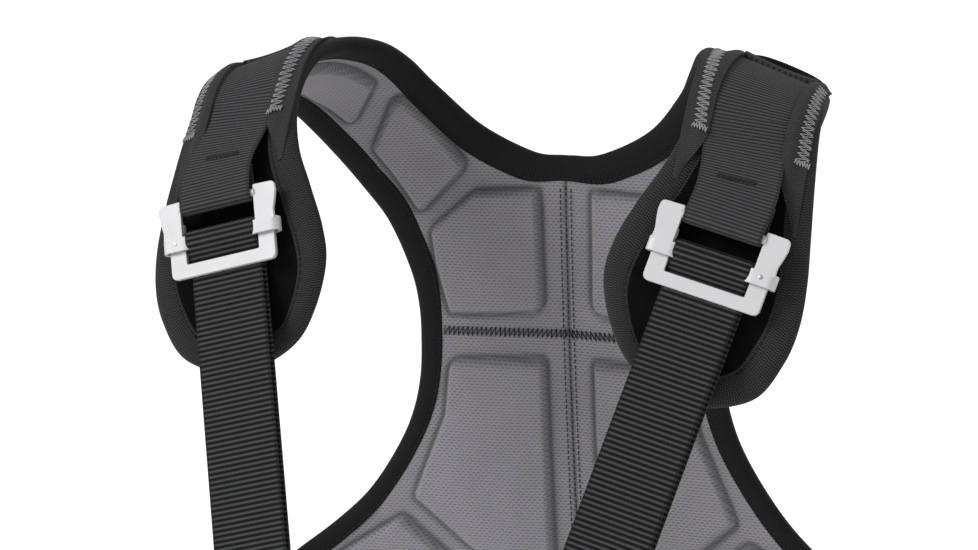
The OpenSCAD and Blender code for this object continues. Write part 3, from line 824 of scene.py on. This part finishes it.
def make_binding():
    """Folded tape round the neck, the two arm openings and the hem, each with two rows of stitches."""
    u, edge, inward = tape_stations()
    p = place(edge[:, 0], edge[:, 1], 0.0)
    run = lengths(p)
    tip_row = NECK_END - 1
    hem_row = NECK_END + len(OUTER_EDGE) + 1
    section = SECTION + [(a, -t) for a, t in SECTION[-2::-1]]
    a = np.array([v[0] for v in section])
    t = np.array([v[1] for v in section]) * BINDING_T
    spread = np.cumsum(np.concatenate([[0], np.hypot(np.diff(a) * BINDING_W, np.diff(t))]))

    def rings(keep, way):
        e, n, r = edge[keep], inward[keep], run[keep]
        x = e[:, None, 0] + n[:, None, 0] * BINDING_W * (1 - a[None, :])
        s = e[:, None, 1] + n[:, None, 1] * BINDING_W * (1 - a[None, :])
        puff = 1 + 0.03 * soft_noise(x, s, 25.0, 5)
        pts = place(way * x, s, t[None, :] * puff)
        uv = np.stack(np.broadcast_arrays(way * r[:, None], spread[None, :]), -1)
        return pts, uv

    def tape(name, parts, nodes):
        pts = np.concatenate([q[0] for q in parts])
        uv = np.concatenate([q[1] for q in parts])
        verts, faces = loop_tube(pts)
        obj = add_object(name, verts, faces, KNIT, uv.reshape(-1, 2))
        finish_normals(obj, 70)
        declare(obj, nodes)

    neck = np.flatnonzero(u <= tip_row + 1e-9)
    hem = np.flatnonzero(u >= hem_row - 1e-9)
    arm = np.flatnonzero((u >= tip_row - 1e-9) & (u <= hem_row + 1e-9))
    left, right = rings(neck, 1.0), rings(neck, -1.0)
    tape("neck_tape", [[v[::-1] for v in right], [v[1:] for v in left]], ["neck_binding"])
    left, right = rings(hem, 1.0), rings(hem, -1.0)
    tape("hem_tape", [left, [v[-2::-1] for v in right]], ["hem_binding"])
    for side, way in SIDES.items():
        tape("armhole_tape_" + side, [rings(arm, way)], ["armhole_binding_" + side])

    row = edge + inward * (BINDING_W * STITCH_IN)
    for side, way in SIDES.items():
        line = np.stack([way * row[:, 0], row[:, 1]], 1)
        parts = stitch_row(line, -BINDING_T * STITCH_AT, -1) + stitch_row(line, BINDING_T * STITCH_AT, 1)
        seam = join_parts("binding_stitches_" + side, parts, DARK_THREAD)
        declare(seam)


make_binding()


# ---------------------------------------------------------------- seams of the back pad

SEAM_LEVEL = LINING_T - 0.45
CROSS_SEAM = -271.0


def seam_height(x):
    """Place s of the cross seam, which rises towards the arm openings."""
    return CROSS_SEAM + 34 / 81 * np.abs(x)


def make_pad_seams():
    parts = []
    for x in (-3.3, 0.0, 3.3):
        parts += stitch_row([(x, -181), (x, -450)], SEAM_LEVEL, -1, 2.3, 1.3, 0.36)
    across = np.arange(-80, 80.5, 1.0)
    line = np.stack([across, seam_height(across)], 1)
    parts += zigzag(line, lambda x, at: SEAM_LEVEL, -1, 5.4, 3.2, 0.32, 4, 0.05)
    seams = join_parts("pad_seams", parts, DARK_THREAD)
    declare(seams)


make_pad_seams()


# ---------------------------------------------------------------- buckle frame of reference

LOAD_RIB_H, STRAP_RIB_H = 0.2, 0.34
BAR_POS = np.array([STRAP_X, -81.0, -67.0])
TILT, ROLL = math.radians(20.5), math.radians(15)


def turned(p, way):
    """Direction in the buckle's own frame to the yoke's, in millimetres."""
    p = np.asarray(p, float)
    y = p[..., 1] * math.cos(TILT) + p[..., 2] * math.sin(TILT)
    z = p[..., 2] * math.cos(TILT) - p[..., 1] * math.sin(TILT)
    x = p[..., 0] * math.cos(ROLL) + z * math.sin(ROLL)
    z = z * math.cos(ROLL) - p[..., 0] * math.sin(ROLL)
    return np.stack([way * x, y, z], -1)


def at_buckle(p, way):
    return turned(p, way) + BAR_POS * (way, 1, 1)


def arc(cx, cy, r, start, end, steps=14):
    """Points of an arc, with its angles in degrees."""
    a = np.radians(np.linspace(start, end, steps + 1))
    return [(cx + r * math.cos(v), cy + r * math.sin(v)) for v in a]


def strip_stations(path, way):
    """Centre points and width directions of webbing that crosses the buckle, from [y, z] points."""
    p = resample(path, 1.0)
    local = np.stack([np.zeros(len(p)), p[:, 0], p[:, 1]], 1)
    return at_buckle(local, way), turned(np.tile([1.0, 0, 0], (len(p), 1)), way)


# ---------------------------------------------------------------- load webbing over the shoulder

SHOULDER_PATH = [
    (38, -226), (62, -196), (88, -158), (110, -118), (130, -76), (144, -36), (149, 0),
    (149, 18), (149, 36), (149, 52)]
SIDE_PATH = [(38, -296), (72, -330), (112, -356), (152, -376), (196, -392), (226, -404)]
SIDE_LIFT = 1.2


def crest_lift(s):
    """Extra height of what lies over the crest."""
    return CREST_LIFT * np.exp(-(np.asarray(s) / CREST_LIFT_S) ** 2)


def laid(path, way, t):
    """Centre points and width directions of webbing laid on the surface."""
    last = len(path) - 1
    u = np.arange(0, last + 1e-9, 0.05)
    p = through(path, u)
    p *= (way, 1)
    centre = place(p[:, 0], p[:, 1], t + crest_lift(p[:, 1]))
    return centre, unit(np.cross(upright(p[:, 0], p[:, 1]), np.gradient(centre, axis=0)))


TACK_NEAR, TACK_LENGTH, TACK_HALF = 3, 34, 18


def box_tack(path, way, t):
    """Stitched box with a cross in it, at the start of a path of webbing."""
    a, b = np.array(path[0], float), np.array(path[1], float)
    along = unit(b - a)
    across = np.array([-along[1], along[0]])
    near, half = TACK_NEAR, TACK_HALF
    corner = [a + along * f + across * w
              for f, w in ((near, -half), (near, half), (TACK_LENGTH, half), (TACK_LENGTH, -half))]
    parts = []
    for i, j in ((0, 1), (1, 2), (2, 3), (3, 0), (0, 2), (1, 3)):
        parts += stitch_row([corner[i] * (way, 1), corner[j] * (way, 1)], t, 1, 2.4, 1.0, 0.32)
    return parts


def thread_bundle(name, parts, material):
    obj = join_parts(name, parts, material)
    declare(obj)
    return obj


BARTACK_AT, BARTACK_HALF = 0.64, 11


def make_bartack(side, a, b, wide):
    """Dark stitches across the straight stretch of webbing between points a and b."""
    along = unit(b - a)
    out = np.cross(along, wide)
    out *= -np.sign(out[1])
    centre = a + (b - a) * BARTACK_AT + out * (WEB_T / 2 + 0.25)
    rng = np.random.default_rng(8)
    parts = []
    for layer, pitch in enumerate((1.2, 1.45)):
        x = np.arange(-BARTACK_HALF, BARTACK_HALF + 1e-9, pitch)
        y = np.where(np.arange(len(x)) % 2 == 0, 1.6, -1.6) * (1 + 0.15 * rng.uniform(-1, 1, len(x)))
        p = centre + wide * x[:, None] + along * y[:, None] + out * 0.12 * layer
        parts += [stitch(p[i], p[i + 1], out, 0.5) for i in range(len(p) - 1)]
    tack = thread_bundle("webbing_bartack_" + side, parts, DARK_THREAD)
    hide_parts("bartack_" + side)


def make_shoulder_webbing(side):
    way = SIDES[side]
    centre, wide = laid(SHOULDER_PATH, way, WEB_LIE)
    fold = [(-1.4, 12), (-2.6, 7)] + arc(0, 0, 3.5, 180, 360) + [(3.3, 5), (2.6, 12), (2.4, 18)]
    c2, w2 = strip_stations(fold, way)
    if np.dot(wide[-1], w2[0]) < 0:
        wide = -wide
    f = np.linspace(0, 1, 12)[1:-1, None]
    a, b = centre[-1], c2[0]
    reach = np.linalg.norm(b - a)
    ta, tb = unit(centre[-1] - centre[-2]) * reach, unit(c2[1] - c2[0]) * reach
    blend = ((2 * f ** 3 - 3 * f ** 2 + 1) * a + (f ** 3 - 2 * f ** 2 + f) * ta
             + (3 * f ** 2 - 2 * f ** 3) * b + (f ** 3 - f ** 2) * tb)
    wblend = wide[-1] * (1 - f) + w2[0] * f
    obj = ribbon("load_webbing_" + side, np.vstack([centre, blend, c2]), np.vstack([wide, wblend, w2]),
                 WEB_W, WEB_T, LOAD_WEAVE, LOAD_RIB, LOAD_RIB_H)
    declare(obj, ["shoulder_webbing_" + side])
    make_bartack(side, a, b, unit(wide[-1] + w2[0]))
    thread_bundle("load_box_tack_" + side, box_tack(SHOULDER_PATH, way, WEB_LIE + 1.0), DARK_THREAD)


def make_side_webbing(side):
    way = SIDES[side]
    centre, wide = laid(SIDE_PATH, way, WEB_LIE + SIDE_LIFT)
    obj = ribbon("side_band_" + side, centre, wide, WEB_W, WEB_T, LOAD_WEAVE, LOAD_RIB, LOAD_RIB_H)
    declare(obj, ["side_webbing_" + side])
    tack = box_tack(SIDE_PATH, way, WEB_LIE + SIDE_LIFT + 1.0)
    thread_bundle("side_box_tack_" + side, tack, DARK_THREAD)


for side in SIDES:
    make_shoulder_webbing(side)
    make_side_webbing(side)


# ---------------------------------------------------------------- folded flaps beside the webbing

FLAP_BACK, FLAP_FRONT = -15.0, 92.0
FLAP_RIM, FLAP_EDGE, FLAP_T = 20.0, 34.5, 1.5
FLAP_ROUTES = {"outer": [(29, 3), (30, 27), (31.5, 52)], "inner": [(30, 4), (27.5, 30), (25, 58)]}


def make_flap(side, name, out):
    """out is 1 for the flap at the strap's outer edge, -1 for the one at the neck."""
    way = SIDES[side]
    brink = through(OUTER_EDGE, np.linspace(5, 14, 200))

    def span(s):
        """Distances of the flap's two edges from the strap's middle."""
        hem = np.interp(-s, -brink[:, 1], brink[:, 0]) - STRAP_X - 1.0 if out > 0 else FLAP_EDGE
        return FLAP_RIM + 12 * ramp((s - 58) / 36), np.minimum(FLAP_EDGE, hem) + 0 * s

    def levels(off, s):
        """Underside and top of the flap at distance off from the strap's middle."""
        rim, edge = span(s)
        top = WEB_LIE + WEB_T / 2 + 0.15 + crest_lift(s)
        lie = np.where(off < 23.5, top, top - (top - BINDING_T - 0.25) * ramp((off - 23.0) / 8))
        lie = BINDING_T + 0.2 + (lie - BINDING_T - 0.2) * (1 - ramp((s - 60) / 34))
        f = np.clip((off - rim) / (edge - rim), 0.04, 0.96)
        ends = 0.35 + 0.65 * np.minimum(ramp((s - FLAP_BACK) / 5), ramp((FLAP_FRONT - s) / 20))
        thick = FLAP_T * (0.55 + 0.45 * np.sin(math.pi * f)) * ends
        return lie, lie + thick + 0.12 * soft_noise(STRAP_X + out * off, s, 18.0, 21)

    s = np.arange(FLAP_BACK, FLAP_FRONT + 0.1, 1.5)
    rim, edge = span(s)
    off = rim[:, None] + (edge - rim)[:, None] * np.linspace(0, 1, 15)[None, :]
    x = STRAP_X + out * off
    ss = np.broadcast_to(s[:, None], x.shape)
    lie, crown = levels(off, ss)
    droop = 2.4 * np.exp(-(s / 38) ** 2)[:, None] * (1 - ramp((off - 20) / 6))
    low = place(way * x, ss, lie - 0.25 - droop)
    high = place(way * x, ss, crown)
    obj = slab("flap_tape_" + name + "_" + side, low, high, np.stack([ss, x], -1), FLAP, way * out > 0)
    finish_normals(obj, 60)
    declare(obj, ["flap_" + name + "_" + side])

    route = FLAP_ROUTES[name]
    line = [(way * (STRAP_X + out * v), at) for v, at in route]
    clear = 0.0 if out > 0 else 0.55

    def level(x, at, more=0.1):
        return levels(out * (abs(x) - STRAP_X), at)[1] + clear + more

    parts = zigzag(line, level, 1, 7.0, 3.3, 0.25, 31, 0.09)
    shifted = [(x0 + way * 0.6, at + 0.9) for x0, at in line]
    parts += zigzag(shifted, lambda x, at: level(x, at, 0.25), 1, 6.2, 3.3, 0.22, 32, 0.16)
    last, reach = route[-1]
    knot = [(way * (STRAP_X + out * (last + v)), reach + 1.5) for v in (-4.2, 4.2)]
    for k in range(3):
        parts += zigzag(knot, lambda x, at: level(x, at, 0.2 + 0.2 * k), 1, 2.6, 1.5, 0.28, 40 + k, 0.35)
    thread_bundle("zigzag_" + name + "_" + side, parts, LIGHT_THREAD)


def across_strap(side, name, s, off, low, high, material):
    """Piece that lies across the strap: levels low and high are rows along by columns across."""
    way = SIDES[side]
    x = np.broadcast_to((STRAP_X + off)[None, :], (len(s), len(off)))
    ss = np.broadcast_to(s[:, None], x.shape)
    lift = crest_lift(ss) + WEB_LIE + WEB_T / 2
    obj = slab(name + "_" + side, place(way * x, ss, lift + low), place(way * x, ss, lift + high),
               np.stack([ss, x], -1), material, way > 0)
    finish_normals(obj, 60)
    return obj


def make_crest_band(side):
    """Piping across the crest, and the soft black roll behind it."""
    f = np.linspace(0, 1, 11)
    off = np.linspace(-20.9, 20.9, 31)
    rise = 0.9 + 1.7 * np.sin(math.pi * np.clip(f, 0.05, 0.95)) ** 0.6
    band = across_strap(side, "crest_piping", -12.5 + 6 * f, off, -0.7, rise[:, None] + 0 * off, FLAP)
    declare(band, ["crest_band_" + side])
    f = np.linspace(0, 1, 25)
    crown = np.sqrt(1 - (off / 21) ** 2) ** 0.8
    rise = 0.3 + 6.2 * np.sin(math.pi * np.clip(f, 0.01, 0.99))[:, None] ** 0.7 * crown[None, :]
    roll = across_strap(side, "crest_pad", -35 + 21 * f, off, 0.05, rise, FLEECE)
    declare(roll, ["crest_roll_" + side])


for side in SIDES:
    for name, out in (("outer", 1), ("inner", -1)):
        make_flap(side, name, out)
    make_crest_band(side)


# ---------------------------------------------------------------- buckles

def rounded(corners):
    """Outline from (x, z, radius) corners."""
    pts = []
    n = len(corners)
    for i, (x, z, r) in enumerate(corners):
        p = np.array([x, z], float)
        if r <= 0:
            pts.append(p)
            continue
        a = np.array(corners[i - 1][:2], float) - p
        b = np.array(corners[(i + 1) % n][:2], float) - p
        a /= np.linalg.norm(a)
        b /= np.linalg.norm(b)
        half = math.acos(np.clip(np.dot(a, b), -1, 1)) / 2
        cut = r / math.tan(half)
        for f in np.linspace(0, 1, 7):
            start, end = p + a * cut, p + b * cut
            pts.append((1 - f) ** 2 * start + 2 * f * (1 - f) * p + f * f * end)
    return [tuple(v) for v in pts]


def plate_parts(bm, outline, y0, y1):
    """Adds a plate with the outline in x and z to a bmesh."""
    front = [bm.verts.new((x, y0, z)) for x, z in outline]
    back = [bm.verts.new((x, y1, z)) for x, z in outline]
    bm.faces.new(front)
    bm.faces.new(back[::-1])
    for i in range(len(front)):
        j = (i + 1) % len(front)
        bm.faces.new((front[j], front[i], back[i], back[j]))


def round_edges(bm, width):
    """Rounds the sharp edges of a bmesh."""
    bmesh.ops.recalc_face_normals(bm, faces=bm.faces)
    sharp = [e for e in bm.edges if len(e.link_faces) == 2 and e.calc_face_angle(0) > math.radians(40)]
    bmesh.ops.bevel(bm, geom=sharp, offset=width, segments=3, profile=0.6, affect="EDGES",
                    clamp_overlap=True)


def add_bar(bm, x0, x1, y, z, r, sides=32):
    """Adds a round bar along x."""
    step = 2 * math.pi / sides
    rings = [[bm.verts.new((x, y + r * math.cos(k * step), z + r * math.sin(k * step)))
              for k in range(sides)] for x in (x0, x1)]
    for k in range(sides):
        k2 = (k + 1) % sides
        bm.faces.new((rings[0][k], rings[0][k2], rings[1][k2], rings[1][k]))
    bm.faces.new(rings[0][::-1])
    bm.faces.new(rings[1])


def from_bmesh(name, bm, way, material, to_yoke=None):
    """Object from a bmesh in millimetres, in the buckle's frame unless to_yoke says another."""
    mesh = bpy.data.meshes.new(name)
    bm.to_mesh(mesh)
    bm.free()
    co = np.empty(len(mesh.vertices) * 3)
    mesh.vertices.foreach_get("co", co)
    co = co.reshape(-1, 3)
    co = (to_yoke(co) if to_yoke else at_buckle(co, way)) * MM
    mesh.vertices.foreach_set("co", co.ravel())
    mesh.polygons.foreach_set("use_smooth", [True] * len(mesh.polygons))
    mesh.materials.append(material)
    obj = bpy.data.objects.new(name, mesh)
    scene.collection.objects.link(obj)
    finish_normals(obj, 30)
    flat = obj.modifiers.new("flat_faces", "WEIGHTED_NORMAL")
    flat.keep_sharp = True
    return obj


def collar_section(inner, outer, way_x):
    """Centre line of a tab that runs across a rail's front, round its outer side and back, in [x, y]."""
    front, back, r = -0.5, 5.9, 3.2
    line = [(inner - 2.6, front + 1.2), (inner - 1.2, front + 0.25), (inner + 0.6, front)]
    line += [(outer - r, front)] + arc(outer - r, front + r, r, -90, 0, 6)[1:]
    line += arc(outer - r, back - r, r, 0, 90, 6) + [(outer - 9.5, back)]
    return [(way_x * x, y) for x, y in line]


def add_collar(bm, line, z0, z1, thick):
    """Bent strip of metal, standing from z0 to z1."""
    p = resample(line, 0.8)
    ahead = unit(np.gradient(p, axis=0))
    side = np.stack([-ahead[:, 1], ahead[:, 0]], 1) * thick / 2
    outline = np.vstack([p + side, (p - side)[::-1]])
    low = [bm.verts.new((x, y, z0)) for x, y in outline]
    high = [bm.verts.new((x, y, z1)) for x, y in outline]
    n = len(p)
    for ring in (low, high):
        for i in range(n - 1):
            bm.faces.new((ring[i], ring[i + 1], ring[2 * n - 2 - i], ring[2 * n - 1 - i]))
    for i in range(2 * n):
        j = (i + 1) % (2 * n)
        bm.faces.new((low[i], low[j], high[j], high[i]))


FRAME_T = 2.8
EAR = 37.5
WINDOW = 23.4
RAIL_OUT = WINDOW + 10
BAR_R = 2.4
SLIDER_Y = (1.7, 4.1)
BAR_GAP = 17.0
TAB_LOW, TAB_H, TAB_T = -24.0, 8.0, 1.9
RIVET_Z = -19.5
RIVET_SIDES = 24
RIVET_HEAD = [(0.7, -1.75), (1.25, -1.55), (1.45, -1.15), (1.45, -0.05)]
WINDOW_LOW = -32.0
SLIDER_LOW = -39.7


def make_buckle(side):
    """Upper frame with its ears, tabs and bar, then its rivet and the lower frame."""
    way = SIDES[side]
    bm = bmesh.new()
    for m in (1, -1):
        cheek = [(WINDOW, 4.6, 1.2), (EAR - 0.4, 4.2, 3.0), (EAR, -1.5, 1.5), (EAR - 0.8, -6, 5),
                 (EAR - 2.2, -12, 5), (EAR - 1.9, -17.5, 1.0), (WINDOW, -17.5, 0)]
        plate_parts(bm, [(m * x, z) for x, z in rounded(cheek)], -FRAME_T / 2, FRAME_T / 2 - 0.5)
    round_edges(bm, 0.55)
    collars = bmesh.new()
    for m in (1, -1):
        add_collar(collars, collar_section(WINDOW, RAIL_OUT + 2.9, m), TAB_LOW, TAB_LOW + TAB_H, TAB_T)
    round_edges(collars, 0.5)
    spare = bpy.data.meshes.new("collars")
    collars.to_mesh(spare)
    collars.free()
    bm.from_mesh(spare)
    bpy.data.meshes.remove(spare)
    add_bar(bm, -WINDOW - 1, WINDOW + 1, 0, 0, BAR_R)
    obj = from_bmesh("buckle_upper_" + side, bm, way, ALLOY)
    declare(obj, ["buckle_frame_" + side], "buckle_frame_" + side)
    make_rivet(side)
    make_slider(side)


def make_rivet(side):
    bm = bmesh.new()
    step = 2 * math.pi / RIVET_SIDES
    rings = [[bm.verts.new((WINDOW + 5 + r * math.cos(k * step), y, RIVET_Z + r * math.sin(k * step)))
              for k in range(RIVET_SIDES)] for r, y in RIVET_HEAD]
    for lo, hi in zip(rings[:-1], rings[1:]):
        for k in range(RIVET_SIDES):
            k2 = (k + 1) % RIVET_SIDES
            bm.faces.new((lo[k], lo[k2], hi[k2], hi[k]))
    bm.faces.new(rings[0])
    bm.faces.new(rings[-1][::-1])
    obj = from_bmesh("rivet_" + side, bm, SIDES[side], STEEL)
    declare(obj, ["buckle_rivet_" + side], "buckle_frame_" + side)


def make_slider(side):
    bm = bmesh.new()
    half = [(RAIL_OUT, SLIDER_LOW, 4.0), (RAIL_OUT, -8, 1.0), (WINDOW, -8, 1.0),
            (WINDOW - 0.3, WINDOW_LOW, 1.0)]
    outline = half + [(-x, z, r) for x, z, r in half[::-1]]
    plate_parts(bm, rounded(outline), SLIDER_Y[0] - 0.5, SLIDER_Y[1])
    round_edges(bm, 0.65)
    add_bar(bm, -WINDOW, WINDOW, sum(SLIDER_Y) / 2, -BAR_GAP, BAR_R)
    obj = from_bmesh("buckle_lower_" + side, bm, SIDES[side], ALLOY)
    declare(obj, ["buckle_slider_" + side], "buckle_slider_" + side)


for side in SIDES:
    make_buckle(side)


# ---------------------------------------------------------------- front straps

TAIL_Y, LOAD_Y = 5.2, 7.2
TAIL_END, EYE_Z, EYE_R = -263.0, -276.2, 7.9
STRAP_LEAN = 1.6


def make_front_strap(side):
    """Strap doubled round the sliding bar, with a sewn eye; the ply behind leans outwards a little."""
    way = SIDES[side]
    bar_y, bar_z = sum(SLIDER_Y) / 2, -BAR_GAP
    tail_y, load_y, eye_z = TAIL_Y, LOAD_Y, EYE_Z
    turn = arc(bar_y, bar_z, 3.5, 180, 0)
    tail = [(tail_y, TAIL_END), (tail_y, bar_z - 16.5), (tail_y - 0.6, bar_z - 13.8), (-0.1, bar_z - 5.4),
            (-0.6, bar_z - 3.6), (-0.6, bar_z - 1)]
    load = [(bar_y + 3.6, bar_z - 2), (load_y, bar_z - 11), (load_y, eye_z + 14), (load_y - 2, eye_z + 10.5)]
    eye = arc(load_y, eye_z, EYE_R, 115, -245, 30)
    path = tail + turn + load + eye[::-1]
    centre, wide = strip_stations(path, way)
    p = resample(path, 1.0)
    behind = ramp((p[:, 0] - tail_y - 0.6) / 0.8) * ramp((-p[:, 1] - 24) / 10)
    centre = centre + turned(np.array([1.0, 0, 0]), 1.0)[None, :] * (STRAP_LEAN * behind)[:, None]
    obj = ribbon("strap_" + side, centre, wide, WEB_W - 0.4, WEB_T - 0.1, FRONT_WEAVE, FRONT_RIB,
                 STRAP_RIB_H)
    declare(obj, ["front_strap_" + side], "front_strap_" + side)


for side in SIDES:
    make_front_strap(side)


# ---------------------------------------------------------------- back ring

PLATE_S = -262.0
BACK_T = 7.3
PLATE_T = 3.0
RIDGE_HALF, RIDGE_R = 13, 1.3


def on_back(p):
    """Points across, out of and up the dorsal plate to the yoke's own frame."""
    p = np.asarray(p, float)
    slope = float(walk(np.array([-PLATE_S]), BACK_PATH)[2][0])
    c, s = math.sin(slope), math.cos(slope)
    turn = np.stack([p[..., 0], p[..., 1] * c - p[..., 2] * s, p[..., 1] * s + p[..., 2] * c], -1)
    return turn + place(0.0, PLATE_S, BACK_T)


def make_dorsal_plate():
    """Six-sided plate with four low ridges."""
    bm = bmesh.new()
    half = [(34, 45, 9), (49.5, 3, 9), (49.5, -3, 9), (34, -45, 9)]
    plate_parts(bm, rounded(half + [(-x, z, r) for x, z, r in half[::-1]]), 0, PLATE_T)
    round_edges(bm, 1.0)
    for middle in (20, -20):
        for z in (-25.5, 32.0):
            add_bar(bm, middle - RIDGE_HALF, middle + RIDGE_HALF, PLATE_T - 0.2, z, RIDGE_R, 16)
    obj = from_bmesh("dorsal_base", bm, 1.0, PLASTIC, to_yoke=on_back)
    declare(obj, ["dorsal_plate"])


KEEPER_W = 36.0


def make_keeper():
    """Loop of webbing round the ring's bar, both ends sewn down on the plate."""
    bar_y, bar_z, r = PLATE_T + 6.7, 14.0, 5.7
    path = [(PLATE_T + 1.0, -5), (PLATE_T + 1.0, bar_z - 2)] + arc(bar_y, bar_z, r, 180, -90, 24)
    path += [(PLATE_T + 3.6, bar_z - 8), (PLATE_T + 2.7, 1), (PLATE_T + 2.7, -5)]
    p = resample(path, 1.0)
    centre = on_back(np.stack([np.zeros(len(p)), p[:, 0], p[:, 1]], 1))
    obj = ribbon("ring_loop", centre, np.tile([1.0, 0, 0], (len(p), 1)), KEEPER_W, WEB_T - 0.1, LOAD_WEAVE,
                 LOAD_RIB, LOAD_RIB_H)
    declare(obj, ["ring_keeper"])
    parts = []
    for z in (-3.5, -1.0, 1.0):
        x = np.arange(-15, 15.1, 3.0)
        pts = on_back(np.stack([x, np.full(len(x), PLATE_T + 3.7), np.full(len(x), z)], 1))
        lift = on_back([0, 1, 0]) - on_back([0, 0, 0])
        parts += [stitch(a, a + (b - a) * 0.75, lift, 0.35) for a, b in zip(pts[:-1], pts[1:])]
    thread_bundle("ring_loop_stitches", parts, LIGHT_THREAD)


make_dorsal_plate()
make_keeper()
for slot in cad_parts["dorsal_ring"].material_slots:
    slot.material = ALLOY
